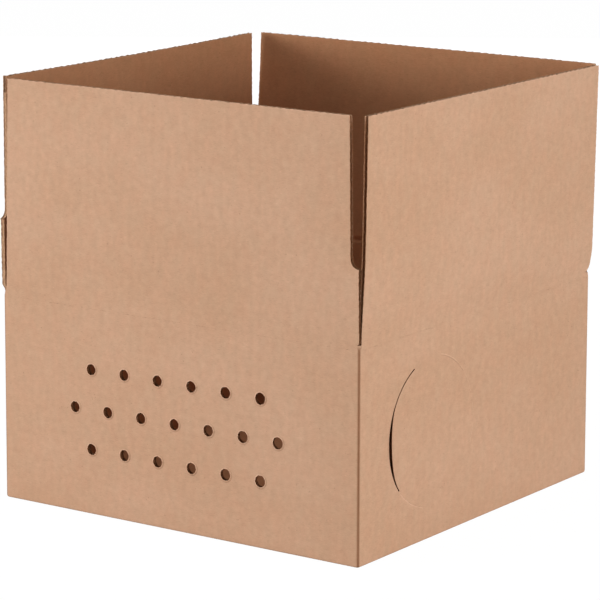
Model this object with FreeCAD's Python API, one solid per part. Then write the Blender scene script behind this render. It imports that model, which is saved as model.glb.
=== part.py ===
"""Corrugated carrier box for small birds, standing open with its four top flaps up.

One blank of single-wall board is folded round the panels right, front, left and
back, closed with a glued tab inside the right-hand end of the back panel, and its
bottom flaps are folded in and glued.  Five solids are written: the folded body,
and the four top flaps that turn about their scores.  The front and back flaps are
the inner pair and fold in first; the left and right flaps stand one board
thickness further out and fold in on top of them.

Millimetres.  Origin in the middle of the base, +Z up, the vented panel faces -Y
and the panel with the round knock-out faces +X.
"""
import math
import os

import FreeCAD
import Part
from FreeCAD import Vector

# ---- driving dimensions ------------------------------------------------------
WIDTH = 305.0              # outside, along X
DEPTH = 304.0              # outside, along Y
WALL_HEIGHT = 152.4        # floor to the top scores
BOARD = 3.0                # B-flute single-wall board

FOLD_OUTER = 2.2           # outside radius of a 90 degree fold
FOLD_INNER = 0.6           # inside radius of the same fold
BOTTOM_ROUND = 1.8         # outside radius of the bottom folds
PANEL_SHORT = 3.6          # the back panel's cut end stops this far inside the right face
CLEAR = 0.15               # running gap between boards that pass each other
LINER = 0.65               # what the crushed score leaves of the side walls' top
OVERCUT = 1.0              # how far cutting tools run past the board

MEET_GAP = 0.1             # each top flap stops this short of the middle
SIDE_GAP = 0.3             # side flaps clear the upright front and back flaps
FRONT_SLOT = 7.2           # widths of the slots cut from the flaps' ends
BACK_SLOT = 2.0
LEFT_SLOT = 4.4
SLOT_BOTTOM = 50.5         # their round ends, above the scores
SLOT_ROUND = 6.4           # radius of a round end, where the slot is wide enough
FRONT_TRIM = (2.3, 6.3)    # cut from the front flap's other end: at the score, at the top
CORNER_ROUND = 0.8         # free corners of the flaps
HEEL_ROUND = 7.0           # lower far corner of the right flap, trimmed with the tab

LEFT_LEAN = 0.2            # degrees outward from upright
RIGHT_LEAN = 0.8
BACK_LEAN = 3.0
STANDOFF = 0.12            # inside face of a side flap, out from the wall's outside face
JOG_HEIGHT = 10.5          # the side flaps reach their full thickness here
JOG_VIA = (0.56, 0.48)     # their swelling passes this share of its reach and height
SCORE_BEVEL = 3.45         # height of the bevel inside the front and back scores

FLUTE_PITCH = 6.4          # B flute
FLUTE_DEPTH = 4.0          # how far the open flute ends are modelled
FLUTE_LINER = 0.4          # liner thickness shown at a cut edge
MEDIUM = 0.45              # thickness of the fluted medium
CREST = 1.0                # width of the flat left at a flute's tip
EDGE_GROOVE = 1.4          # depth of the open flute along an upright cut

VENT_DIAMETER = 7.9
VENT_PITCH = 29.0          # along a row
VENT_ROW_PITCH = 28.8
VENT_ROWS = (6, 7, 6)      # from the top row down, staggered by half a pitch
VENT_CENTRE = (0.0, 76.2)  # x and z of the middle vent

KNOCKOUT_DIAMETER = 104.8
KNOCKOUT_FROM_CORNER = 88.9
KNOCKOUT_HEIGHT = 76.2
KERF = 0.5
# cut arcs, degrees counter-clockwise from +Y as seen from outside; the rest is uncut
KNOCKOUT_CUTS = ((36.2, -20.0), (78.0, 38.2), (220.2, 115.0), (257.0, 222.0))
LIP_START = 48.5           # distance from the near corner where the lip starts to curl
LIP_RADIUS = 24.0          # outside face of the curled lip
LIP_SWEEP = 36.0           # degrees, enough to reach past the cut

BOTTOM_SEAM_X = 2.3        # the outer bottom flaps meet this far off the middle
BOTTOM_TRIM = 0.4          # each bottom flap clears its neighbours' folds by this
SEAM = 0.6                 # width of the seams between bottom flaps
TAB_WIDTH = 35.0           # glue tab inside the back panel
TAB_TRIM = 8.0             # the tab stops short of the scores
TAB_TAPER = 10.0           # and its free edge is cut back at both ends

HALF_W = WIDTH / 2
HALF_D = DEPTH / 2
INNER_FLAP_HALF = HALF_W - LINER - CLEAR            # front and back flaps, half width
OUTER_FLAP_HALF = HALF_D - BOARD - SIDE_GAP         # left and right flaps, half width
INNER_FLAP_LENGTH = HALF_D - MEET_GAP
OUTER_FLAP_LENGTH = HALF_W - MEET_GAP


# ---- helpers -----------------------------------------------------------------
def prism(points, plane, start, end):
    """Extrude a closed outline between two values of the third axis.

    Each point is (a, b), or (a, b, via) where via is a point that the arc to the
    next corner passes through.
    """
    place = {"xy": lambda a, b: Vector(a, b, start),
             "xz": lambda a, b: Vector(a, start, b),
             "yz": lambda a, b: Vector(start, a, b)}[plane]
    along = {"xy": Vector(0, 0, 1), "xz": Vector(0, 1, 0), "yz": Vector(1, 0, 0)}[plane]
    edges = []
    for index, point in enumerate(points):
        following = points[(index + 1) % len(points)]
        a, b = place(*point[:2]), place(*following[:2])
        if len(point) == 3:
            edges.append(Part.Arc(a, place(*point[2]), b).toShape())
        else:
            edges.append(Part.LineSegment(a, b).toShape())
    return Part.Face(Part.Wire(edges)).extrude(along * (end - start))


def block(low, high):
    """Box between two corners."""
    size = [h - l for l, h in zip(low, high)]
    return Part.makeBox(*size, Vector(*low))


def corner_via(centre, radius, degrees):
    """Point on a rounded corner, for the arc of an outline."""
    angle = math.radians(degrees)
    return (centre[0] + radius * math.cos(angle), centre[1] + radius * math.sin(angle))


# ---- the folded body ---------------------------------------------------------
def glued_joint():
    """Groove at the right rear, between the tab's fold and the back panel's cut end."""
    r = FOLD_OUTER
    joint_y, panel_end = HALF_D - BOARD, HALF_W - PANEL_SHORT
    fold = (HALF_W - r, joint_y - r)
    far_x, far_y = HALF_W + OVERCUT, HALF_D + OVERCUT
    outline = [(panel_end, far_y), (panel_end, joint_y),
               (fold[0], joint_y, corner_via(fold, r, 45)),
               (HALF_W, fold[1]), (far_x, fold[1]), (far_x, far_y)]
    return prism(outline, "xy", -OVERCUT, WALL_HEIGHT + OVERCUT)


def inner_outline():
    """Plan of the inside faces of the four walls; the glued corner stays square."""
    x, y, r = HALF_W - BOARD, HALF_D - BOARD, FOLD_INNER
    return [(-x + r, -y),
            (x - r, -y, corner_via((x - r, -y + r), r, -45)),
            (x, -y + r),
            (x, y),
            (-x + r, y, corner_via((-x + r, y - r), r, 135)),
            (-x, y - r),
            (-x, -y + r, corner_via((-x + r, -y + r), r, 225))]


def walls():
    """Four walls, with three upright folds, the glued joint and a rounded bottom fold."""
    outside = block((-HALF_W, -HALF_D, 0), (HALF_W, HALF_D, WALL_HEIGHT))
    joint = Vector(HALF_W, HALF_D, WALL_HEIGHT / 2)
    upright = [edge for edge in outside.Edges if edge.Length == WALL_HEIGHT]
    folds = [edge for edge in upright if edge.CenterOfMass.distanceToPoint(joint) > BOARD]
    outside = outside.makeFillet(FOLD_OUTER, folds)
    bottom = [edge for edge in outside.Edges if edge.CenterOfMass.z < CLEAR]
    outside = outside.makeFillet(BOTTOM_ROUND, bottom)
    room = prism(inner_outline(), "xy", -OVERCUT, WALL_HEIGHT + OVERCUT)
    return outside.cut([room, glued_joint()])


def bottom_flaps():
    """Outer pair on the floor, inner pair glued on top of it."""
    x, y = HALF_W - BOARD, HALF_D - BOARD
    seam_low = BOTTOM_SEAM_X - SEAM / 2
    seam_high = BOTTOM_SEAM_X + SEAM / 2
    trim = BOTTOM_TRIM
    return [block((-x, -y + trim, 0), (seam_low, y - trim, BOARD)),
            block((seam_high, -y + trim, 0), (x, y - trim, BOARD)),
            block((-x + trim, -y, BOARD), (x - trim, -SEAM / 2, 2 * BOARD)),
            block((-x + trim, SEAM / 2, BOARD), (x - trim, y, 2 * BOARD))]


def glue_tab():
    """Tab of the right panel, glued inside the back panel."""
    x = HALF_W - BOARD
    low, high = 2 * BOARD + TAB_TRIM, WALL_HEIGHT - TAB_TRIM
    outline = [(x, low), (x, high), (x - TAB_WIDTH, high - TAB_TAPER), (x - TAB_WIDTH, low + TAB_TAPER)]
    return prism(outline, "xz", HALF_D - 2 * BOARD, HALF_D - BOARD)


def rim_cut():
    """Crushed scores: a 45 degree bevel front and back, a thin lip left and right."""
    drop = BOARD + CLEAR
    outline = [(-HALF_D, WALL_HEIGHT), (-HALF_D + drop, WALL_HEIGHT - drop),
               (HALF_D - drop, WALL_HEIGHT - drop), (HALF_D, WALL_HEIGHT),
               (HALF_D, WALL_HEIGHT + BOARD), (-HALF_D, WALL_HEIGHT + BOARD)]
    half = HALF_W - LINER
    return prism(outline, "yz", -half, half)


def vents():
    """Staggered rows of round air holes through the front wall."""
    holes = []
    for row, count in enumerate(VENT_ROWS):
        z = VENT_CENTRE[1] + VENT_ROW_PITCH * (len(VENT_ROWS) // 2 - row)
        for column in range(count):
            x = VENT_CENTRE[0] + VENT_PITCH * (column - (count - 1) / 2)
            start = Vector(x, -HALF_D - OVERCUT, z)
            holes.append(Part.makeCylinder(VENT_DIAMETER / 2, BOARD + 2 * OVERCUT, start, Vector(0, 1, 0)))
    return holes


def knockout_centre():
    return (-HALF_D + KNOCKOUT_FROM_CORNER, KNOCKOUT_HEIGHT)


def knockout_slit(start, end):
    """One knife cut of the round knock-out, between two angles."""
    centre = knockout_centre()
    inner, outer = (KNOCKOUT_DIAMETER - KERF) / 2, (KNOCKOUT_DIAMETER + KERF) / 2
    middle = (start + end) / 2
    outline = [(*corner_via(centre, outer, start), corner_via(centre, outer, middle)),
               corner_via(centre, outer, end),
               (*corner_via(centre, inner, end), corner_via(centre, inner, middle)),
               corner_via(centre, inner, start)]
    return prism(outline, "yz", HALF_W - BOARD - OVERCUT, HALF_W + OVERCUT)


def knockout_lip():
    """Where the disc's near edge springs outward: the wall piece to remove, and the lip."""
    y, z = knockout_centre()
    radius = (KNOCKOUT_DIAMETER - KERF) / 2
    disc = Part.makeCylinder(radius, 4 * BOARD, Vector(HALF_W - 2 * BOARD, y, z), Vector(1, 0, 0))
    start = -HALF_D + LIP_START
    reach = y - radius - OVERCUT
    flat = block((HALF_W - BOARD, reach, z - radius), (HALF_W, start, z + radius))
    centre = (HALF_W + LIP_RADIUS, start)
    outer, inner = LIP_RADIUS, LIP_RADIUS + BOARD
    middle, end = 180 + LIP_SWEEP / 2, 180 + LIP_SWEEP
    outline = [(*corner_via(centre, outer, 180), corner_via(centre, outer, middle)),
               corner_via(centre, outer, end),
               (*corner_via(centre, inner, end), corner_via(centre, inner, middle)),
               corner_via(centre, inner, 180)]
    curled = prism(outline, "xy", z - radius, z + radius)
    return flat.common(disc), curled.common(disc)


def box_body():
    lip_place, lip = knockout_lip()
    slits = [knockout_slit(start, end) for start, end in KNOCKOUT_CUTS]
    body = walls().fuse(bottom_flaps() + [glue_tab()])
    body = body.cut([rim_cut()] + vents() + slits)
    return body.cut(lip_place).fuse(lip).removeSplitter()


# ---- the top flaps -----------------------------------------------------------
# A flap is made with its score on the local X axis, outside towards -Y, and turned
# into place.  Its slot, if it has one, is cut from the +X end, and its trim, which
# may grow from the score to the top, from the -X end.
def inner_pair_section(length):
    """Front and back: flush with the wall, bevelled at the crushed score."""
    return [(0, CLEAR), (0, length), (BOARD, length), (BOARD, SCORE_BEVEL)]


def outer_pair_section(length):
    """Left and right: swells out to a full board thickness outside the wall."""
    near, far = -STANDOFF, -STANDOFF - BOARD
    return [(near, 2 * CLEAR, (far * JOG_VIA[0], JOG_HEIGHT * JOG_VIA[1])),
            (far, JOG_HEIGHT), (far, length), (near, length)]


def trimmed_end(half, length, trim, height):
    """Where the -X end of a flap is at a height above its score."""
    return -half + trim[0] + (trim[1] - trim[0]) * height / length


def flap_outline(half, length, slot, heel, trim):
    """Face of a flap, seen from outside."""
    r, edge = CORNER_ROUND, half - slot
    far = trimmed_end(half, length, trim, length)
    points = [(-half + trim[0], 0)]
    if slot:
        turn = min(SLOT_ROUND, slot - CLEAR)
        centre = (edge + turn, SLOT_BOTTOM + turn)
        points += [(half, 0), (half, SLOT_BOTTOM), (centre[0], SLOT_BOTTOM, corner_via(centre, turn, 225)),
                   (edge, centre[1])]
    elif heel:
        points += [(edge - heel, 0, corner_via((edge - heel, heel), heel, -45)), (edge, heel)]
    else:
        points += [(edge, 0)]
    points += [(edge, length - r, corner_via((edge - r, length - r), r, 45)), (edge - r, length),
               (far + r, length, corner_via((far + r, length - r), r, 135)), (far, length - r)]
    return points


def flute_ends(half, length, slot, trim, face):
    """Open flute ends along the top edge: pockets on both sides of the wavy medium."""
    low = trimmed_end(half, length, trim, length) + FLUTE_PITCH / 2
    high = half - slot - FLUTE_PITCH / 2
    count = int((high - low) // FLUTE_PITCH)
    first = (low + high - count * FLUTE_PITCH) / 2
    foot, tip = FLUTE_PITCH / 2 - MEDIUM, CREST / 2
    near, far = face + FLUTE_LINER, face + BOARD - FLUTE_LINER
    crest = (far - near) - MEDIUM
    pockets = []
    for side in range(2):
        base, top = (near, near + crest) if side == 0 else (far, far - crest)
        for index in range(count + 1 - side):
            x = first + (index + side / 2) * FLUTE_PITCH
            outline = [(x - foot, base), (x + foot, base), (x + tip, top), (x - tip, top)]
            pockets.append(prism(outline, "xy", length - FLUTE_DEPTH, length + OVERCUT))
    return pockets


def edge_grooves(half, length, slot, trim, face):
    """The flute laid open along each upright cut, between the two liners."""
    y = (face + FLUTE_LINER, face + BOARD - FLUTE_LINER)
    right = half - slot
    bottom = (SLOT_BOTTOM + SLOT_ROUND if slot else JOG_HEIGHT) + BOARD
    start, stop = JOG_HEIGHT + BOARD, length - FLUTE_DEPTH - EDGE_GROOVE
    left = [(-half - OVERCUT, start), (trimmed_end(half, length, trim, start) + EDGE_GROOVE, start),
            (trimmed_end(half, length, trim, stop) + EDGE_GROOVE, stop), (-half - OVERCUT, stop)]
    return [block((right - EDGE_GROOVE, y[0], bottom), (right + OVERCUT, y[1], stop)),
            prism(left, "xz", *y)]


def flap(half, length, section, face, lean, turn, at, slot=0, heel=0, trim=(0, 0)):
    """One top flap in its place; face is the local Y of its outside liner."""
    plate = prism(section(length), "yz", -half, half)
    outline = flap_outline(half, length, slot, heel, trim)
    plate = plate.common(prism(outline, "xz", -2 * BOARD, 2 * BOARD))
    openings = flute_ends(half, length, slot, trim, face) + edge_grooves(half, length, slot, trim, face)
    plate = plate.cut(openings)
    plate.rotate(Vector(0, 0, 0), Vector(1, 0, 0), lean)
    plate.rotate(Vector(0, 0, 0), Vector(0, 0, 1), turn)
    plate.translate(Vector(at[0], at[1], WALL_HEIGHT))
    return plate


def top_flaps():
    inner = (INNER_FLAP_HALF, INNER_FLAP_LENGTH, inner_pair_section, 0)
    outer = (OUTER_FLAP_HALF, OUTER_FLAP_LENGTH, outer_pair_section, -STANDOFF - BOARD)
    return {"front_flap": flap(*inner, 0, 0, (0, -HALF_D), slot=FRONT_SLOT, trim=FRONT_TRIM),
            "back_flap": flap(*inner, BACK_LEAN, 180, (0, HALF_D), slot=BACK_SLOT),
            "left_flap": flap(*outer, LEFT_LEAN, -90, (-HALF_W, 0), slot=LEFT_SLOT),
            "right_flap": flap(*outer, RIGHT_LEAN, 90, (HALF_W, 0), heel=HEEL_ROUND)}


# ---- write the nodes ---------------------------------------------------------
def main():
    os.makedirs("parts", exist_ok=True)
    nodes = {"box_body": box_body(), **top_flaps()}
    for name, shape in nodes.items():
        print(name, shape.isValid(), len(shape.Solids), "solid(s)", round(shape.Volume / 1000, 1), "cm3")
        shape.exportStep(f"parts/{name}.step")


main()
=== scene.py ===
"""Looks of the corrugated carrier box.

Every panel is built as real single-wall board: an outside liner, a fluted core and
an inside liner.  Boards are laid out flat in sheet coordinates (s along the blank,
h above the floor or the score, d into the board from its outside face), in
millimetres, and then carried into the box's frame by one placing function each.
"""
import math
import random

import bpy
from mathutils import Matrix, Vector
from mathutils.geometry import delaunay_2d_cdt


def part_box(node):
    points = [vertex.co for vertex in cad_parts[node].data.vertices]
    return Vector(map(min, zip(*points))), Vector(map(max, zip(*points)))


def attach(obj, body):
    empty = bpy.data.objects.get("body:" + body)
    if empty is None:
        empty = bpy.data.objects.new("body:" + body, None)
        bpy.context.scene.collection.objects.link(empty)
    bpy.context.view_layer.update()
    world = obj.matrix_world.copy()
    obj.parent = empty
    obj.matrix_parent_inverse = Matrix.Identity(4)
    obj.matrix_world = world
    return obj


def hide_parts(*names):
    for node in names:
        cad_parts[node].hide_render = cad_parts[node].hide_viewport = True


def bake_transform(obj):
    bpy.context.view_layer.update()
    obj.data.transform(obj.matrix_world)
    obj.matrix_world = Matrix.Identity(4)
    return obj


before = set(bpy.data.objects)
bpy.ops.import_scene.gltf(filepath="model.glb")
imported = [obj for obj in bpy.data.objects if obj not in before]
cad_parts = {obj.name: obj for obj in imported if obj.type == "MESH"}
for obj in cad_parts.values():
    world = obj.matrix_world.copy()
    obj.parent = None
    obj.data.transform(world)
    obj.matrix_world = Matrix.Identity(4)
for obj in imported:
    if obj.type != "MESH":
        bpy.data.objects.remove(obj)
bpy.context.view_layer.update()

MM = 0.001

# ---- sizes, from the frame ---------------------------------------------------
body_low, body_high = (Vector(corner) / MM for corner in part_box("box_body"))
front_high = Vector(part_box("front_flap")[1]) / MM
W2, D2, WALL = -body_low.x, body_high.y, body_high.z
TOP = front_high.z
BOARD = 3.0
LINER = 0.4                # liner thickness at a cut edge
FOLD = 2.2                 # outside fold radius
FOLD_IN = 0.6              # inside fold radius
BOTTOM_ROUND = 1.8
PANEL_SHORT = 3.6          # the back panel's cut end, inside the right face
TAB = 35.0
CREASE = 4.0               # a flap bends over this far either side of its score

FLUTE_PITCH = 6.4
SLOT_BOTTOM = 50.5
SLOT_ROUND = 6.4
HEEL_ROUND = 7.0
FRONT_TAPER, FRONT_SHIFT = 0.020, 0.9   # share the front flap narrows by at its top, and its shift
LEFT_TAPER = 0.006         # share the left flap narrows by at its top
CORNER = 0.6               # free corners of the flaps
RIGHT_LEAN = math.radians(0.9)
BACK_LEAN = math.radians(3.1)
BACK_TWIST = math.radians(0.7)
LEFT_JOG = 3.1             # the side flaps stand this far out from their walls
RIGHT_JOG = 2.0
BAND_SPRING = 0.4          # the left flap's band stands out by this much more
LEFT_SAG = 0.9             # the left flap's top edge dips in its middle

VENT_RADIUS = 3.95
VENT_SWELL = 0.22          # the holes are this much larger at the right-hand end
VENT_PITCH, VENT_ROW_PITCH = 29.07, 28.8
VENT_ROWS = (6, 7, 6)
VENT_CENTRE = (-0.4, 76.2)

KNOCKOUT_RADIUS = 52.4
KNOCKOUT_FROM_CORNER = 88.9
KNOCKOUT_HEIGHT = 76.2
# knife cuts: start and end angle, kerf; the narrow ones raise a burr
KNOCKOUT_CUTS = ((36.2, -20.0, 0.07), (78.0, 38.2, 0.12), (220.2, 115.0, 0.95), (257.0, 222.0, 0.06))
WIDE_CUT = 0.5             # kerfs from here on stay open, with the fluting crushed back
CUT_RINGS = (0.45, 1.0)    # mesh lines beside a cut, for its burr
BURR, BURR_WIDTH = 0.2, 0.9
RIM, RIM_WIDTH = 0.3, 1.6  # burr round an air hole
RIM_RINGS = (0.45, 1.0, 1.7)
VENT_POINTS, VENT_JITTER = 40, 0.16    # points round a hole, and how far they stray
CORE_INSET = 1.2           # the walls' core stops this far inside the upright cuts
FOLD_DARK_HALF_WIDTH = 1.45           # half width of the dark line down a fold: worn liner and painted crease shade
LIP_START, LIP_RADIUS = 47.0, 19.5
LIP_TILT = 0.06            # the lip springs further at its lower end
LIP_HOLLOW = 3.6           # how far back the fluting is crushed behind the lip's edge
VENT_HOLLOW = 1.1          # and behind the rim of a vent
FLARE = 0.5                # how far the walls stand out at the floor
SCALLOP = 0.35             # how far a cut edge dips over each flute
GROOVE = 2.8               # depth of the open flute along an upright cut
CLOSED_CUT = 0.3           # and along the left flap's, which is nearly closed
FLUTE_OPEN = 12            # the fluting is modelled open this far down from a flap's top
SCORE_REACH, SCORE_PRESS = 2.2, 0.28   # half height of the pressed score, share of the board pressed in

OUTSIDE, INSIDE, CUT = 0, 1, 2     # material slots of every board


# ---- boards in sheet coordinates ---------------------------------------------
def inside(loops, flat, face):
    """Whether a triangle lies on the board: inside the outline and outside every hole."""
    x = sum(flat[i].x for i in face) / 3
    y = sum(flat[i].y for i in face) / 3
    odd = False
    for loop in loops:
        for (x0, y0), (x1, y1) in zip(loop, loop[1:] + loop[:1]):
            if (y0 > y) != (y1 > y) and x < x0 + (y - y0) * (x1 - x0) / (y1 - y0):
                odd = not odd
    return odd


def join_cells(flat, triangles):
    """Join pairs of right triangles that fill one upright rectangle, for even shading."""
    cells, rectangles = [], {}
    for face in triangles:
        xs, ys = [flat[i].x for i in face], [flat[i].y for i in face]
        span = (min(xs), max(xs), min(ys), max(ys))
        square = all(min(abs(x - span[0]), abs(x - span[1])) + min(abs(y - span[2]), abs(y - span[3])) < 1e-5
                     for x, y in zip(xs, ys))
        if square:
            rectangles.setdefault(tuple(round(v, 4) for v in span), []).append(face)
        else:
            cells.append(tuple(face))
    for pair in rectangles.values():
        if len(pair) == 2:
            corners = sorted(set(pair[0]) | set(pair[1]), key=lambda i: (flat[i].x, flat[i].y))
            cells.append((corners[0], corners[2], corners[3], corners[1]))
        else:
            cells += [tuple(face) for face in pair]
    return cells


class Board:
    """Closed solids laid out in sheet coordinates, waiting to be placed."""

    def __init__(self):
        self.points, self.faces, self.tones = [], [], []

    def add(self, points, faces, tones):
        start = len(self.points)
        self.points += points
        self.faces += [tuple(start + i for i in face) for face in faces]
        self.tones += tones

    def plate(self, loops, depths, columns, rows, tones, creases=()):
        """A flat layer between two depths, with holes, and grid points to bend at."""
        points, edges = [], []
        for loop in loops:
            start = len(points)
            points += [Vector(p) for p in loop]
            edges += [(start + i, start + (i + 1) % len(loop)) for i in range(len(loop))]
        for line in creases:
            start = len(points)
            points += [Vector(p) for p in line]
            edges += [(start + i, start + i + 1) for i in range(len(line) - 1)]
        points += [Vector((s, h)) for s in columns for h in rows]
        lines = [((columns[0], h), (columns[-1], h)) for h in rows]
        lines += [((s, rows[0]), (s, rows[-1])) for s in columns]
        for ends in lines:
            edges.append((len(points), len(points) + 1))
            points += [Vector(end) for end in ends]
        out = delaunay_2d_cdt(points, edges, [], 1, 1e-6)
        flat = out[0]
        cells = join_cells(flat, [face for face in out[2] if inside(loops, flat, face)])
        used = sorted({i for face in cells for i in face})
        number = {old: new for new, old in enumerate(used)}
        count = len(used)
        top, under = depths
        layer = [(flat[i].x, flat[i].y, top) for i in used] + [(flat[i].x, flat[i].y, under) for i in used]
        faces, face_tones, border = [], [], set()
        for cell in cells:
            face = [number[i] for i in cell]
            faces += [tuple(face), tuple(i + count for i in reversed(face))]
            face_tones += [tones[0], tones[1]]
            for edge in zip(face, face[1:] + face[:1]):
                if edge[::-1] in border:
                    border.remove(edge[::-1])
                else:
                    border.add(edge)
        for a, b in sorted(border):
            faces.append((b, a, a + count, b + count))
            face_tones.append(CUT)
        self.add(layer, faces, face_tones)

    def wave(self, s_range, h_range, steps=12, thickness=0.3):
        """The fluted medium, standing between the liners."""
        low, high = s_range
        count = max(2, round((high - low) / FLUTE_PITCH * steps))
        swing = (BOARD - 2 * LINER - thickness) / 2
        points = []
        for i in range(count + 1):
            s = low + (high - low) * i / count
            turn = 2 * math.pi * s / FLUTE_PITCH
            slope = math.atan(swing * 2 * math.pi / FLUTE_PITCH * math.cos(turn))
            for side in (-0.5, 0.5):
                ds, dd = -math.sin(slope) * thickness * side, math.cos(slope) * thickness * side
                for h in h_range:
                    points.append((s + ds, h, BOARD / 2 + swing * math.sin(turn) + dd))
        faces = []
        for i in range(count):
            a, b = 4 * i, 4 * i + 4
            faces += [(a, b, b + 1, a + 1), (a + 2, a + 3, b + 3, b + 2),
                      (a, a + 2, b + 2, b), (a + 1, b + 1, b + 3, a + 3)]
        end = 4 * count
        faces += [(0, 1, 3, 2), (end, end + 2, end + 3, end + 1)]
        self.add(points, faces, [CUT] * len(faces))

    def fibre(self, root, direction, length, width):
        """A torn paper fibre: a thin three-sided spike."""
        along = Vector(direction).normalized()
        across = along.orthogonal().normalized()
        other = along.cross(across)
        root = Vector(root)
        ring = [root + (across * math.cos(t) + other * math.sin(t)) * width / 2
                for t in (0, 2 * math.pi / 3, 4 * math.pi / 3)]
        tip = root + along * length
        points = [tuple(p) for p in ring + [tip]]
        self.add(points, [(0, 1, 3), (1, 2, 3), (2, 0, 3), (2, 1, 0)], [OUTSIDE] * 4)


def spaced(low, high, step):
    """Evenly spaced values from low to high."""
    count = max(1, round((high - low) / step))
    return [low + (high - low) * i / count for i in range(count + 1)]


def arc(centre, radius, start, end, step=8):
    """Points on an arc, angles in degrees."""
    count = max(2, round(abs(end - start) / step))
    turn = [math.radians(start + (end - start) * i / count) for i in range(count + 1)]
    return [(centre[0] + radius * math.cos(t), centre[1] + radius * math.sin(t)) for t in turn]


def ragged(loop, step, jitter, rng):
    """A cut edge with short points knocked in and out of line."""
    points = []
    for i, (s, h) in enumerate(loop):
        s1, h1 = loop[(i + 1) % len(loop)]
        count = max(1, round(math.hypot(s1 - s, h1 - h) / step))
        for k in range(count):
            t = k / count
            shift = [rng.uniform(-jitter, jitter) if k else 0 for _ in range(2)]
            points.append((s + (s1 - s) * t + shift[0], h + (h1 - h) * t + shift[1]))
    return points


# ---- placing the folded walls --------------------------------------------------
def quarter(centre, radius, start, t):
    angle = math.radians(start + 90 * t)
    return Vector((centre[0] + radius * math.cos(angle), centre[1] + radius * math.sin(angle)))


def wall_segments():
    """Flats and folds of the blank in order, each with its outside and inside line."""
    t, r, i = BOARD, FOLD, FOLD_IN
    fold_length = math.pi / 2 * r
    jy = D2 - t
    flats = [((W2 - PANEL_SHORT, D2), (-W2 + r, D2), (W2 - PANEL_SHORT, D2 - t), (-W2 + t + i, D2 - t)),
             ((-W2, D2 - r), (-W2, -D2 + r), (-W2 + t, D2 - t - i), (-W2 + t, -D2 + t + i)),
             ((-W2 + r, -D2), (W2 - r, -D2), (-W2 + t + i, -D2 + t), (W2 - t - i, -D2 + t)),
             ((W2, -D2 + r), (W2, jy - r), (W2 - t, -D2 + t + i), (W2 - t, jy - t - i)),
             ((W2 - r, jy), (W2 - t - TAB, jy), (W2 - t - i, jy - t), (W2 - t - TAB, jy - t))]
    folds = [((-W2 + r, D2 - r), (-W2 + t + i, D2 - t - i), 90),
             ((-W2 + r, -D2 + r), (-W2 + t + i, -D2 + t + i), 180),
             ((W2 - r, -D2 + r), (W2 - t - i, -D2 + t + i), 270),
             ((W2 - r, jy - r), (W2 - t - i, jy - t - i), 0)]
    segments, s = [], 0.0
    for index, flat in enumerate(flats):
        ends = [Vector(p) for p in flat]
        length = (ends[1] - ends[0]).length
        segments.append(("flat", s, s + length, ends))
        s += length
        if index < len(folds):
            segments.append(("fold", s, s + fold_length, folds[index]))
            s += fold_length
    return segments


SEGMENTS = wall_segments()
FLATS = [segment for segment in SEGMENTS if segment[0] == "flat"]
FOLDS = [segment for segment in SEGMENTS if segment[0] == "fold"]
BACK, LEFT, FRONT, RIGHT, TAB_FLAT = FLATS
PANEL_MID = {"back": BACK[1] + W2 - PANEL_SHORT, "left": LEFT[1] + D2 - FOLD,
             "front": FRONT[1] + W2 - FOLD, "right": RIGHT[1] + D2 - FOLD}


def wall_line(s):
    """Outside and inside points of the walls in plan, at distance s along the blank."""
    for kind, low, high, data in SEGMENTS:
        if s <= high or data is SEGMENTS[-1][3]:
            t = min(max((s - low) / (high - low), 0), 1)
            if kind == "flat":
                return data[0].lerp(data[1], t), data[2].lerp(data[3], t)
            return quarter(data[0], FOLD, data[2], t), quarter(data[1], FOLD_IN, data[2], t)


def lip_lift(s, h):
    """How far the knock-out's near edge springs outward."""
    u = s - RIGHT[1] + FOLD
    du, dh = u - KNOCKOUT_FROM_CORNER, h - KNOCKOUT_HEIGHT
    reach = LIP_START - LIP_TILT * dh - u
    if du * du + dh * dh > KNOCKOUT_RADIUS ** 2 or reach < 0 or u < 0:
        return 0.0
    return reach ** 2 / (2 * LIP_RADIUS)


def cut_burr(s, h):
    """Height of the lip of liner turned up beside a narrow cut."""
    cs, ch = knockout_centre()
    radius = math.hypot(s - cs, h - ch)
    gap = abs(radius - KNOCKOUT_RADIUS)
    angle = math.degrees(math.atan2(h - ch, s - cs))
    for start, end, kerf in KNOCKOUT_CUTS:
        turn = (angle - end) % 360
        if kerf < WIDE_CUT and gap < BURR_WIDTH and turn < start - end:
            return BURR * (1 - max(gap - kerf, 0) / BURR_WIDTH) ** 2
    return 0.0


def vent_rim(s, h):
    """Height of the burr raised round each punched hole."""
    lift = 0.0
    for cs, ch in VENTS:
        gap = math.hypot(s - cs, h - ch) - vent_radius(cs)
        if gap < RIM_WIDTH:
            lift = max(lift, RIM * (1 - max(gap, 0) / RIM_WIDTH) ** 2)
    return lift


def upright_wall(s, h, d):
    outside, inside = wall_line(s)
    inward = (inside - outside).normalized()
    if h < BOTTOM_ROUND:
        rise = BOTTOM_ROUND - h
        outside = outside + inward * (BOTTOM_ROUND - math.sqrt(BOTTOM_ROUND ** 2 - rise ** 2))
    spot = outside.lerp(inside, d / BOARD)
    lift = lip_lift(s, h)
    if d < BOARD / 2:
        lift += vent_rim(s, h) if FRONT[1] < s < FRONT[2] else cut_burr(s, h)
    spot = spot - inward * lift
    return Vector((spot.x, spot.y, h))


def flared(point):
    """The walls lean out a little towards the floor."""
    grow = 1 + FLARE / W2 * max(0.0, 1 - point.z / WALL)
    return Vector((point.x * grow, point.y * grow, point.z))


def place_wall(s, h, d):
    return flared(upright_wall(s, h, d))


# ---- placing the flaps ---------------------------------------------------------
def eased(t):
    t = min(max(t, 0.0), 1.0)
    return t * t * (3 - 2 * t)


def score_crush(h, d):
    """The score is pressed in from the inside face."""
    press = max(0.0, 1 - (h / SCORE_REACH) ** 2)
    return d * (1 - SCORE_PRESS * press)


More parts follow.
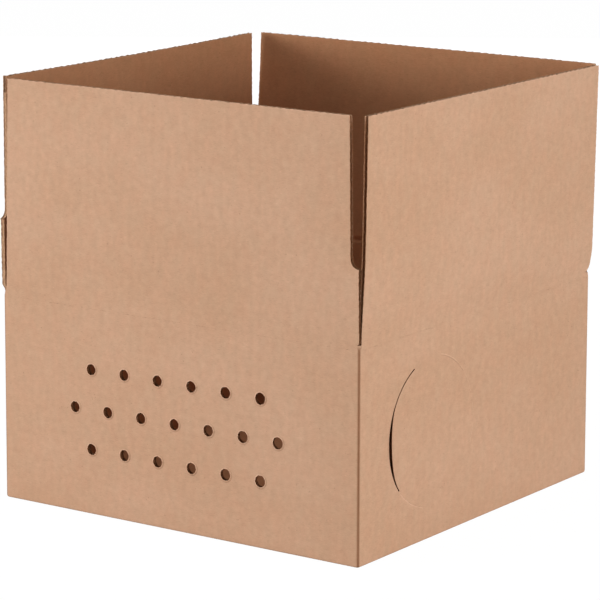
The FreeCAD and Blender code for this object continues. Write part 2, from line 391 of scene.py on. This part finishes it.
def place_front(s, h, d):
    d = score_crush(h, d)
    climb = max(h, 0) / (TOP - WALL)
    return Vector((s * (1 - FRONT_TAPER * climb) + FRONT_SHIFT * climb, -D2 + d, WALL + h))


def place_back(s, h, d):
    d = score_crush(h, d)
    angle = (BACK_LEAN + BACK_TWIST * s / W2) * eased((h + CREASE) / (2 * CREASE))
    out = max(h, 0) * math.sin(angle) - d * math.cos(angle)
    up = h if h < 0 else h * math.cos(angle) + d * math.sin(angle)
    return Vector((-s, D2 + out, WALL + up))


def place_left(s, h, d):
    """The side flaps spring out past their scores, to lie over the front and back flaps."""
    d = score_crush(h, d)
    out = LEFT_JOG * eased((h + 1.5) / 5.5) + BAND_SPRING * eased(0.5 + s / D2) * eased(h / 30)
    climb = max(h, 0) / (TOP - WALL)
    sag = LEFT_SAG * (1 - (s / D2) ** 2) * climb
    return Vector((-W2 - out + d, -s * (1 - LEFT_TAPER * climb), WALL + h - sag))


def place_right(s, h, d):
    d = score_crush(h, d)
    near = eased((-s - (D2 - 45)) / 45)
    out = RIGHT_JOG * eased((h + 1.5) / (21.5 + 45 * near)) + max(h, 0) * math.tan(RIGHT_LEAN)
    return Vector((W2 + out - d, s, WALL + h))


# ---- the pieces ----------------------------------------------------------------
def vent_centres():
    """Sheet places of the air holes."""
    spots = []
    for row, count in enumerate(VENT_ROWS):
        h = VENT_CENTRE[1] + VENT_ROW_PITCH * (len(VENT_ROWS) // 2 - row)
        spots += [(PANEL_MID["front"] + VENT_CENTRE[0] + VENT_PITCH * (i - (count - 1) / 2), h)
                  for i in range(count)]
    return spots


VENTS = vent_centres()


def knockout_centre():
    return (RIGHT[1] - FOLD + KNOCKOUT_FROM_CORNER, KNOCKOUT_HEIGHT)


def slit(start, end, kerf, outward=0.0, inward=0.0):
    """Outline of one knife cut of the knock-out, or of the hollow behind it."""
    centre = knockout_centre()
    return (arc(centre, KNOCKOUT_RADIUS + kerf / 2 + outward, start, end, 3)
            + arc(centre, KNOCKOUT_RADIUS - kerf / 2 - inward, end, start, 3))


def vent_radius(s):
    """The punched holes grow towards the right-hand end of the front."""
    return VENT_RADIUS + VENT_SWELL * eased((s - PANEL_MID["front"]) / 60)


def bend_lines():
    """Lines round the holes and along the cuts, where the burrs rise and die out."""
    lines = []
    for spot in VENTS:
        for grow in RIM_RINGS:
            lines.append(arc(spot, vent_radius(spot[0]) + grow, 0, 360, 15))
    for start, end, kerf in KNOCKOUT_CUTS:
        for grow in CUT_RINGS:
            for side in (-1, 1):
                radius = KNOCKOUT_RADIUS + side * (kerf / 2 + grow)
                lines.append(arc(knockout_centre(), radius, start, end, 3))
    return lines


def ring_outline(inset):
    """Outline of the folded walls: flats end at the crease zone, folds run up to the score."""
    shoulder, ear, lap = WALL - CREASE, WALL - 0.6, 0.05
    tab_start = FOLDS[3][2]
    end = TAB_FLAT[2] - inset
    points = [(inset, 0), (tab_start, 0), (tab_start, 14), (end, 24), (end, WALL - 18), (tab_start, WALL - 8)]
    points += [(tab_start, ear)]
    for fold in reversed(FOLDS):
        low, high = fold[1] - lap, fold[2] + lap
        if fold is not FOLDS[3]:
            points += [(high, shoulder), (high, ear)]
        points += [(low, ear), (low, shoulder)]
    points += [(inset, shoulder)]
    return points


def ring_columns():
    """Grid lines along the blank: close at the folds, open on the flats."""
    columns = []
    for kind, low, high, _ in SEGMENTS:
        columns += spaced(low, high, 0.5 if kind == "fold" else 16)
    near = RIGHT[1] - FOLD
    columns += [near + u for u in spaced(36, LIP_START + 2, 1.3)]
    return sorted(set(columns))


def build_walls(rng):
    board = Board()
    rows = [0, 0.15, 0.4, 0.8, 1.2, BOTTOM_ROUND] + spaced(8, WALL - CREASE, 14)
    columns = ring_columns()
    holes = [vent_loop(spot, 0, rng) for spot in VENTS]
    cuts = [slit(*cut) for cut in KNOCKOUT_CUTS]
    outline = ring_outline(0)
    board.plate([outline] + holes + cuts, (0, LINER), columns, rows, (OUTSIDE, CUT), bend_lines())
    board.plate([outline] + holes + cuts, (BOARD - LINER, BOARD), columns, rows, (CUT, INSIDE))
    deep = [vent_loop(spot, VENT_HOLLOW, rng) for spot in VENTS]
    wide = [slit(*cut, 0.3, LIP_HOLLOW if cut[2] > WIDE_CUT else 0.3) for cut in KNOCKOUT_CUTS]
    board.plate([ring_outline(CORE_INSET)] + deep + wide, (LINER, BOARD - LINER), columns, rows, (CUT, CUT))
    for spot in VENTS:
        vent_fibres(board, spot, rng)
    return board


def vent_loop(spot, grow, rng):
    """A punched hole, not quite round."""
    points = []
    for k in range(VENT_POINTS):
        angle = 2 * math.pi * k / VENT_POINTS
        radius = vent_radius(spot[0]) + grow + rng.uniform(-VENT_JITTER, VENT_JITTER)
        points.append((spot[0] + radius * math.cos(angle), spot[1] + radius * math.sin(angle)))
    return points


def vent_fibres(board, spot, rng):
    """Fuzz in the hole, and torn flakes pushed out past its right-hand rim."""
    for _ in range(26):
        angle = rng.uniform(0, 2 * math.pi)
        radius = vent_radius(spot[0]) + rng.uniform(-0.1, 0.1)
        root = (spot[0] + radius * math.cos(angle), spot[1] + radius * math.sin(angle),
                rng.choice((0.1, 0.2, 0.3, 1.2, 2.8)))
        lean = rng.uniform(-1.2, 1.2)
        direction = (-math.cos(angle + lean), -math.sin(angle + lean), rng.uniform(-0.7, 0.7))
        board.fibre(root, direction, rng.uniform(0.35, 0.9), rng.uniform(0.1, 0.2))
    for _ in range(9):
        angle = math.radians(rng.uniform(-110, 40))
        radius = vent_radius(spot[0]) + rng.uniform(0.1, 1.1)
        root = (spot[0] + radius * math.cos(angle), spot[1] + radius * math.sin(angle), -0.1)
        direction = (math.cos(angle), math.sin(angle), rng.uniform(-0.9, -0.1))
        board.fibre(root, direction, rng.uniform(0.4, 0.9), rng.uniform(0.25, 0.5))


def flap_outline(flat_low, flat_high, low, high, length, slot, heel, inset=0.0, top=None):
    """A flap's cut outline: narrow through the crease, then full width up to its top."""
    r = CORNER
    top = length if top is None else top
    left, edge = low + inset, high - inset - slot
    points = [(flat_low, -CREASE), (flat_high, -CREASE), (flat_high, -0.6)]
    if slot:
        band = high - inset
        points += [(band, 0.6), (band, SLOT_BOTTOM - inset)]
        centre = (edge + SLOT_ROUND, SLOT_BOTTOM - inset + SLOT_ROUND)
        points += arc(centre, SLOT_ROUND, 270, 180, 12)
    elif heel:
        points += arc((edge - heel, heel), heel, -90, 0, 12)
    else:
        points += [(edge, 0.6)]
    if top == length:
        points += arc((edge - r, top - r), r, 0, 90, 15)
        points += arc((left + r, top - r), r, 90, 180, 15)
    else:
        points += [(edge, top), (left, top)]
    points += [(left, 0.6), (flat_low, -0.6)]
    return points


def scalloped(outline, length):
    """The liner's top edge, which dips a little once in every flute pitch."""
    points = []
    for s, h in outline:
        dip = SCALLOP * (0.5 + 0.5 * math.cos(2 * math.pi * s / FLUTE_PITCH))
        points.append((s, h - dip if h > length - 0.5 else h))
    return points


def top_edge_highlight(length):
    """Painted highlight: the liner is drawn paler along a flap's top edge, as if lit from above."""
    return lambda s, h: -0.9 if h > length - 0.75 else 0.0


def edge_shade(length, groove):
    """Painted shade on a flap's cut faces: none along the top edge, rising over 6 mm below it to full
    strength down the upright cuts with open grooves; none on the left flap's nearly closed cut.
    """
    deepest = 0.85 if groove > 1 else 0.0
    return lambda s, h: min(max((length - 1 - h) / 6, 0.0), deepest)


def build_flap(flat, low, high, length, slot, heel, groove, rng):
    """Liners, core and open flutes of one top flap, in its own s from the panel's middle."""
    board = Board()
    rows = [-CREASE, -3, -2, -1.3, -0.6, 0, 0.6, 1.3, 2, 3, CREASE]
    rows += [5.5, 7.5, 10, 14, 19, 28, 45, 70, 100, 128]
    rows += [length - 1.6, length - 0.9]
    columns = sorted(spaced(low, high, 19) + [low + 1.2, low + 3, low + 7, high - 1.2, high - 3, high - 7])
    outline = ragged(flap_outline(*flat, low, high, length, slot, heel), 1.3, 0.2, rng)
    outline = scalloped(outline, length)
    board.plate([outline], (0, LINER), columns, rows, (OUTSIDE, CUT))
    board.plate([outline], (BOARD - LINER, BOARD), columns, rows, (CUT, INSIDE))
    core = flap_outline(*flat, low, high, length, slot, heel, inset=groove, top=length - FLUTE_OPEN)
    board.plate([core], (LINER, BOARD - LINER), columns, rows, (CUT, CUT))
    right = high - slot
    board.wave((low + 0.5, right - 0.5), (length - FLUTE_OPEN - 0.5, length - 0.25))
    edge_fibres(board, low, right, length, slot, rng)
    return board


def edge_fibres(board, low, right, length, slot, rng):
    """Fuzz and torn flakes along the cut edges."""
    for _ in range(190):
        root = (rng.uniform(low + 2, right - 2), length - 0.35, rng.choice((0.1, 0.3, 1.5, 2.7, 2.9)))
        direction = (rng.uniform(-1.5, 1.5), 1, rng.uniform(-0.6, 0.6))
        board.fibre(root, direction, rng.uniform(0.4, 0.95), rng.uniform(0.12, 0.34))
    for edge, sign in ((low, -1), (right, 1)):
        start = SLOT_BOTTOM + SLOT_ROUND if slot and sign > 0 else 8
        for _ in range(110):
            root = (edge - sign * rng.uniform(0, 0.6), rng.uniform(start, length - 3),
                    rng.choice((0.2, 0.35, 0.9, 1.6, 2.3, 2.65, 2.8)))
            direction = (sign, rng.uniform(-1.8, 1.8), rng.uniform(-0.9, 0.9))
            board.fibre(root, direction, rng.uniform(0.3, 1.0), rng.uniform(0.08, 0.17))
        for _ in range(46):
            root = (edge - sign * rng.uniform(0, 0.4), rng.uniform(start, length - 2), rng.gauss(2.75, 0.1))
            direction = (sign, rng.uniform(-2.5, 2.5), rng.uniform(-0.7, 0.3))
            board.fibre(root, direction, rng.uniform(0.5, 1.3), rng.uniform(0.35, 0.75))


def build_bottom():
    """The four closed bottom flaps, with the seams between them."""
    x, y, gap, seam_x = W2 - BOARD, D2 - BOARD, 0.3, 2.3
    board = Board()
    layers = [((-x, -y + 0.4), (seam_x - gap, y - 0.4), 0), ((seam_x + gap, -y + 0.4), (x, y - 0.4), 0),
              ((-x + 0.4, -y), (x - 0.4, -gap), BOARD), ((-x + 0.4, gap), (x - 0.4, y), BOARD)]
    for (x0, y0), (x1, y1), z in layers:
        outline = [(x0, y0), (x1, y0), (x1, y1), (x0, y1)]
        columns, rows = spaced(x0, x1, 20), spaced(y0, y1, 20)
        board.plate([outline], (z, z + BOARD), columns, rows, (OUTSIDE, INSIDE))
    return board


def place_bottom(s, h, d):
    return flared(Vector((s, h, d)))


# ---- materials -----------------------------------------------------------------
class Nodes:
    """Short hand for building a node tree."""

    def __init__(self, material):
        material.use_nodes = True
        self.tree = material.node_tree
        self.bsdf = self.tree.nodes["Principled BSDF"]

    def new(self, kind, inputs=None, **settings):
        node = self.tree.nodes.new(kind)
        for key, value in settings.items():
            setattr(node, key, value)
        for key, value in (inputs or {}).items():
            if isinstance(value, bpy.types.NodeSocket):
                self.tree.links.new(value, node.inputs[key])
            else:
                node.inputs[key].default_value = value
        return node

    def math(self, operation, a, b=0.0, clamp=False):
        return self.new("ShaderNodeMath", {0: a, 1: b}, operation=operation, use_clamp=clamp).outputs[0]

    def mapped(self, vector, scale, turn=0.0):
        return self.new("ShaderNodeMapping", {"Vector": vector, "Scale": scale,
                                              "Rotation": (0, 0, math.radians(turn))}).outputs[0]

    def noise(self, vector, detail=3.0, rough=0.55):
        return self.new("ShaderNodeTexNoise", {"Vector": vector, "Scale": 1.0, "Detail": detail,
                                               "Roughness": rough}).outputs[0]

    def span(self, value, low, high, to_low=0.0, to_high=1.0):
        return self.new("ShaderNodeMapRange", {"Value": value, "From Min": low, "From Max": high,
                                               "To Min": to_low, "To Max": to_high}).outputs[0]

    def mix(self, factor, a, b, blend="MIX"):
        node = self.new("ShaderNodeMix", data_type="RGBA", blend_type=blend)
        for socket, value in zip((node.inputs[0], node.inputs[6], node.inputs[7]), (factor, a, b)):
            if isinstance(value, bpy.types.NodeSocket):
                self.tree.links.new(value, socket)
            else:
                socket.default_value = value
        return node.outputs[2]


def srgb(r, g, b):
    """Screen colour, 0 to 255, as linear."""
    def linear(c):
        c /= 255
        return c / 12.92 if c <= 0.04045 else ((c + 0.055) / 1.055) ** 2.4
    return (linear(r), linear(g), linear(b), 1.0)


def kraft(name, base, fine=1.0):
    """Unbleached kraft liner: cloudy formation, crossing fibres, specks, faint flute lines."""
    material = bpy.data.materials.new(name)
    n = Nodes(material)
    sheet = n.new("ShaderNodeAttribute", attribute_name="board").outputs["Vector"]
    wear_and_painted_light = n.new("ShaderNodeAttribute", attribute_name="wear_and_painted_light").outputs["Fac"]
    colour = n.mix(n.span(n.noise(n.mapped(sheet, (9, 14, 9)), 2.0), 0.35, 0.65),
                   base, n.mix(1.0, base, (0.95, 0.93, 0.90, 1), "MULTIPLY"))
    cloud = n.noise(n.mapped(sheet, (170, 260, 170)), 4.0, 0.6)
    colour = n.mix(n.span(cloud, 0.3, 0.7, 0.0, 1.0), n.mix(1.0, colour, (0.95, 0.935, 0.92, 1), "MULTIPLY"),
                   n.mix(1.0, colour, (1.035, 1.04, 1.045, 1), "MULTIPLY"))
    for stretch, low, high in (((190, 75, 190), (0.974, 0.971, 0.967, 1), (1.022, 1.024, 1.026, 1)),
                               ((105, 58, 105), (1.016, 0.995, 0.991, 1), (0.986, 1.005, 1.007, 1))):
        drift = n.span(n.noise(n.mapped(sheet, stretch), 2.0), 0.34, 0.66)
        colour = n.mix(drift, n.mix(1.0, colour, low, "MULTIPLY"), n.mix(1.0, colour, high, "MULTIPLY"))
    height = n.math("MULTIPLY", cloud, 0.25)
    for turn, stretch, dark in ((4, (260, 2300), True), (-38, (420, 2600), False), (47, (380, 2600), True),
                                (88, (300, 2500), False)):
        streak = n.noise(n.mapped(sheet, (*stretch, 400), turn), 1.0, 0.5)
        strand = n.span(streak, 0.60, 0.74)
        tint = (0.80, 0.78, 0.76, 1) if dark else (1.13, 1.14, 1.15, 1)
        colour = n.mix(n.math("MULTIPLY", strand, 0.55 * fine), colour, n.mix(1.0, colour, tint, "MULTIPLY"))
        height = n.math("ADD", height, n.math("MULTIPLY", streak, 0.22))
    for scale, tint in ((210.0, (0.62, 0.54, 0.48, 1)), (240.0, (1.22, 1.27, 1.32, 1))):
        cells = n.new("ShaderNodeTexVoronoi", {"Vector": sheet, "Scale": scale}, feature="F1")
        specks = cells.outputs["Distance"]
        chosen = n.noise(n.mapped(sheet, (scale / 2.8, scale / 2.8, scale)), 0.0)
        spot = n.math("MULTIPLY", n.span(specks, 0.14, 0.05), n.span(chosen, 0.60, 0.64), clamp=True)
        colour = n.mix(n.math("MULTIPLY", spot, 0.55), colour, n.mix(1.0, colour, tint, "MULTIPLY"))
    along = n.new("ShaderNodeSeparateXYZ", {0: sheet}).outputs[0]
    flutes = n.math("SINE", n.math("MULTIPLY", along, 2 * math.pi / (FLUTE_PITCH * MM)))
    ridge = n.mix(1.0, colour, (0.86, 0.84, 0.82, 1), "MULTIPLY")
    colour = n.mix(n.span(flutes, -1, 1, 0.0, 0.05), colour, ridge)
    # Wear and painted light. Above 0 the liner is darkened along each fold's crease (worn liner and painted
    # crease shade) and as a painted shadow on the lower right of each vent's rim. Below 0 it is lightened as
    # a painted highlight on the vents' upper left rims, beside the narrow cuts and along the flaps' top
    # edges.
    colour = n.mix(n.span(wear_and_painted_light, 0, 1), colour, n.mix(1.0, colour, (0.32, 0.20, 0.11, 1), "MULTIPLY"))
    colour = n.mix(n.span(wear_and_painted_light, 0, -1), colour, n.mix(1.0, colour, (1.16, 1.20, 1.25, 1), "MULTIPLY"))
    n.tree.links.new(colour, n.bsdf.inputs["Base Color"])
    height = n.math("ADD", height, n.math("MULTIPLY", flutes, 0.10))
    bump = n.new("ShaderNodeBump", {"Height": height, "Strength": 0.35, "Distance": 0.00022})
    n.tree.links.new(bump.outputs[0], n.bsdf.inputs["Normal"])
    n.tree.links.new(n.span(cloud, 0.3, 0.7, 0.74, 0.86), n.bsdf.inputs["Roughness"])
    n.bsdf.inputs["Specular IOR Level"].default_value = 0.12
    return material


def cut_board(name, base):
    """The raw cut: darker, hairy, ribbed with torn fibres."""
    material = bpy.data.materials.new(name)
    n = Nodes(material)
    sheet = n.new("ShaderNodeAttribute", attribute_name="board").outputs["Vector"]
    hair = n.noise(n.mapped(sheet, (1500, 420, 1900)), 3.0, 0.6)
    blotch = n.noise(n.mapped(sheet, (160, 130, 300)), 2.0)
    colour = n.mix(n.span(hair, 0.35, 0.7), n.mix(1.0, base, (0.62, 0.55, 0.48, 1), "MULTIPLY"),
                   n.mix(1.0, base, (1.25, 1.25, 1.22, 1), "MULTIPLY"))
    dark = n.mix(1.0, colour, (0.7, 0.66, 0.6, 1), "MULTIPLY")
    colour = n.mix(n.span(blotch, 0.35, 0.7, 0.0, 0.4), colour, dark)
    painted_shade = n.new("ShaderNodeAttribute", attribute_name="painted_shade").outputs["Fac"]
    # Painted shade: this tint darkens the cut core inside the vents, round the knock-out's cuts and down the
    # flaps' upright cuts.
    colour = n.mix(painted_shade, colour, n.mix(1.0, colour, (0.55, 0.42, 0.32, 1), "MULTIPLY"))
    n.tree.links.new(colour, n.bsdf.inputs["Base Color"])
    bump = n.new("ShaderNodeBump", {"Height": hair, "Strength": 0.6, "Distance": 0.0003})
    n.tree.links.new(bump.outputs[0], n.bsdf.inputs["Normal"])
    n.bsdf.inputs["Roughness"].default_value = 0.9
    n.bsdf.inputs["Specular IOR Level"].default_value = 0.15
    return material


# ---- making the objects --------------------------------------------------------
def crease_wear_and_rim_light(s, h):
    """Crease wear and painted light: 1 on a fold's crease (worn liner and painted crease shade); round each
    vent a painted highlight (below 0) on the inner rim, most at the upper left, and a painted shadow (above
    0) on the outer ring, most at the lower right; -1, a painted highlight, just outside the narrow cuts.
    """
    wear_and_painted_light = 0.0
    for _, low, high, _ in FOLDS:
        gap = abs(s - (low + high) / 2)
        wear_and_painted_light = max(wear_and_painted_light, 1 - gap / FOLD_DARK_HALF_WIDTH)
    for cs, ch in VENTS:
        gap = math.hypot(s - cs, h - ch) - vent_radius(cs)
        if gap < RIM_WIDTH:
            # Painted light round a vent: the inner rim is a painted highlight, palest at the upper left; the
            # outer ring is a painted shadow, darkest at the lower right.
            side = math.cos(math.atan2(h - ch, s - cs) + 0.5)
            return 0.5 * side - 0.5 if gap < RIM_WIDTH / 2 else 0.22 + 0.2 * side
    cs, ch = knockout_centre()
    radius, bearing = math.hypot(s - cs, h - ch), math.degrees(math.atan2(h - ch, s - cs))
    # Painted highlight just outside each narrow cut.
    for start, end, kerf in KNOCKOUT_CUTS:
        turned = (bearing - min(start, end)) % 360
        if kerf < WIDE_CUT and turned < abs(end - start) and 0 < radius - KNOCKOUT_RADIUS < BURR_WIDTH:
            return -1.0
    return max(wear_and_painted_light, 0.0)


def painted_shade_in_cuts(s, h):
    """Painted shade: 1 inside the vents and round the knock-out's cuts, where the cut core is drawn darker.
    """
    if any(math.hypot(s - cs, h - ch) < vent_radius(cs) + VENT_HOLLOW + 0.2 for cs, ch in VENTS):
        return 1.0
    cs, ch = knockout_centre()
    return 1.0 if abs(math.hypot(s - cs, h - ch) - KNOCKOUT_RADIUS) < LIP_HOLLOW + 1 else 0.0


def make(name, board, place, materials, s_shift=0.0, h_shift=0.0, wear_and_painted_light=None, painted_shade=None):
    """Place a board's points and make its object."""
    mesh = bpy.data.meshes.new(name)
    mesh.from_pydata([place(*p) * MM for p in board.points], [], board.faces)
    for material in materials:
        mesh.materials.append(material)
    mesh.polygons.foreach_set("material_index", board.tones)
    sheet, light_and_wear, deep = [], [], []
    for s, h, d in board.points:
        sheet += [(s + s_shift) * MM, (h + h_shift) * MM, d * MM]
        light_and_wear.append(wear_and_painted_light(s, h) if wear_and_painted_light else 0.0)
        deep.append(painted_shade(s, h) if painted_shade else 0.0)
    mesh.attributes.new("board", "FLOAT_VECTOR", "POINT")
    mesh.attributes.new("wear_and_painted_light", "FLOAT", "POINT")
    mesh.attributes["board"].data.foreach_set("vector", sheet)
    mesh.attributes["wear_and_painted_light"].data.foreach_set("value", light_and_wear)
    mesh.attributes.new("painted_shade", "FLOAT", "POINT")
    mesh.attributes["painted_shade"].data.foreach_set("value", deep)
    mesh.update()
    piece = bpy.data.objects.new(name, mesh)
    bpy.context.scene.collection.objects.link(piece)
    mesh.shade_smooth()
    mesh.set_sharp_from_angle(angle=math.radians(28))
    return piece


rng = random.Random(12)
liner = kraft("kraft_outside", srgb(206, 165, 136))
# The inside liner is a darker, warmer copy of the outside kraft: painted shade and painted warm bounce light
# for the inside of the box.
inside_liner_painted_shade = kraft("kraft_inside_painted_shade", srgb(198, 144, 106), 1.1)
raw = cut_board("kraft_cut", srgb(206, 166, 135))
MATERIALS = (liner, inside_liner_painted_shade, raw)

walls = make("folded_walls", build_walls(rng), place_wall, MATERIALS, wear_and_painted_light=crease_wear_and_rim_light, painted_shade=painted_shade_in_cuts)
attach(walls, "box")
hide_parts("box_body")
bottom = make("bottom_flaps", build_bottom(), place_bottom, MATERIALS, h_shift=500)
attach(bottom, "box")

# placing, panel, far and slotted or heeled ends, length, slot width, heel, groove in the upright cuts
FLAPS = {
    "front": (place_front, FRONT, -W2 + 3.1, W2 - 0.5, TOP - WALL, 6.4, 0, GROOVE),
    "back": (place_back, BACK, -W2 + PANEL_SHORT, W2 - 1.0, TOP - WALL, 0.9, 0, GROOVE),
    "left": (place_left, LEFT, -D2 + 1.6, D2 - 2.6, TOP - WALL + 0.2, 4.2, 0, CLOSED_CUT),
    "right": (place_right, RIGHT, -D2 + 2.4, D2 - 3.4, TOP - WALL + 0.4, 0, HEEL_ROUND, GROOVE),
}
for side, (place, flat, low, high, length, slot, heel, groove) in FLAPS.items():
    middle = PANEL_MID[side]
    span = (flat[1] - middle + 0.05, flat[2] - middle - 0.05)
    flap = make(side + "_flap_board", build_flap(span, low, high, length, slot, heel, groove, rng), place,
                MATERIALS, middle, WALL, top_edge_highlight(length), edge_shade(length, groove))
    node = side + "_flap"
    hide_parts(node)
    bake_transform(flap)


# ---- stage, light and camera ----------------------------------------------------
FLOOR_GLOW = 1.04          # white of the floor where it is seen
FLOOR_SHARE = 0.95         # the rest of it there is plain grey and takes the light and shade
FLOOR_GREY = 0.55


def white_rays(tree):
    """1 for the rays that see the white background: camera, glossy and transmission."""
    path = tree.nodes.new("ShaderNodeLightPath")
    rays = path.outputs["Is Camera Ray"]
    for kind in ("Is Glossy Ray", "Is Transmission Ray"):
        either = tree.nodes.new("ShaderNodeMath")
        either.operation = "MAXIMUM"
        tree.links.new(rays, either.inputs[0])
        tree.links.new(path.outputs[kind], either.inputs[1])
        rays = either.outputs[0]
    return rays


def white_where_seen(material):
    """White to the camera, in reflections and seen through glass, grey to everything else."""
    material.use_nodes = True
    tree = material.node_tree
    tree.nodes.clear()
    out = tree.nodes.new("ShaderNodeOutputMaterial")
    share = tree.nodes.new("ShaderNodeMath")
    share.operation = "MULTIPLY"
    share.inputs[1].default_value = FLOOR_SHARE
    tree.links.new(white_rays(tree), share.inputs[0])
    glow = tree.nodes.new("ShaderNodeEmission")
    glow.inputs["Strength"].default_value = FLOOR_GLOW
    plain = tree.nodes.new("ShaderNodeBsdfDiffuse")
    plain.inputs["Color"].default_value = (FLOOR_GREY, FLOOR_GREY, FLOOR_GREY, 1)
    mix = tree.nodes.new("ShaderNodeMixShader")
    tree.links.new(share.outputs[0], mix.inputs[0])
    tree.links.new(plain.outputs[0], mix.inputs[1])
    tree.links.new(glow.outputs[0], mix.inputs[2])
    tree.links.new(mix.outputs[0], out.inputs[0])


def add_floor():
    size = 6.0
    mesh = bpy.data.meshes.new("floor")
    corners = [(-size, -size, 0), (size, -size, 0), (size, size, 0), (-size, size, 0)]
    mesh.from_pydata(corners, [], [(0, 1, 2, 3)])
    floor = bpy.data.objects.new("floor", mesh)
    bpy.context.scene.collection.objects.link(floor)
    material = bpy.data.materials.new("studio_floor")
    white_where_seen(material)
    mesh.materials.append(material)


def add_world(strength):
    """White where it is seen, and a weak white light from all round."""
    world = bpy.data.worlds.new("studio")
    bpy.context.scene.world = world
    world.use_nodes = True
    tree = world.node_tree
    back = tree.nodes["Background"]
    span = tree.nodes.new("ShaderNodeMapRange")
    span.inputs["To Min"].default_value = strength
    span.inputs["To Max"].default_value = 1.0
    tree.links.new(white_rays(tree), span.inputs["Value"])
    tree.links.new(span.outputs[0], back.inputs["Strength"])
    back.inputs["Color"].default_value = (1, 1, 1, 1)


def away_from_box(azimuth, elevation):
    """Unit vector: degrees round from the front towards the right, and up."""
    a, e = math.radians(azimuth), math.radians(elevation)
    return Vector((math.sin(a) * math.cos(e), -math.cos(a) * math.cos(e), math.sin(e)))


def add_light(name, azimuth, elevation, distance, size, power):
    """Soft white area light aimed at the middle of the box."""
    data = bpy.data.lights.new(name, "AREA")
    data.shape = "RECTANGLE"
    data.size, data.size_y = size
    data.energy = power
    light = bpy.data.objects.new(name, data)
    target = Vector((0, 0, 0.15))
    away = away_from_box(azimuth, elevation)
    light.location = target + away * distance
    light.rotation_euler = away.to_track_quat("Z", "Y").to_euler()
    light.visible_camera = False
    bpy.context.scene.collection.objects.link(light)


def add_camera():
    """Telephoto view from the right of the vented front, a little above the rim."""
    azimuth, elevation, roll = 35, 12.1, math.radians(0.15)
    distance, lens, sensor = 2.3, 191.0, 36.0
    target = Vector((-0.001, -0.001, 0.1375))
    away = away_from_box(azimuth, elevation)
    data = bpy.data.cameras.new("camera")
    data.lens, data.sensor_width = lens, sensor
    camera = bpy.data.objects.new("camera", data)
    camera.location = target + away * distance
    turned = away.to_track_quat("Z", "Y").to_matrix().to_4x4()
    camera.rotation_euler = (turned @ Matrix.Rotation(roll, 4, "Z")).to_euler()
    bpy.context.scene.collection.objects.link(camera)
    bpy.context.scene.camera = camera


add_floor()
add_world(0.2)
# azimuth and elevation in degrees, distance and size in metres, power in watts
add_light("key", -35, 6, 2.5, (1.6, 0.8), 42)
add_light("fill", 80, 6, 2.5, (1.6, 0.8), 42)
add_light("top", 0, 85, 2.5, (2.0, 2.0), 12)
add_light("back", 215, 6, 2.5, (1.6, 0.8), 42)
add_camera()
bpy.context.scene.view_settings.view_transform = "Standard"
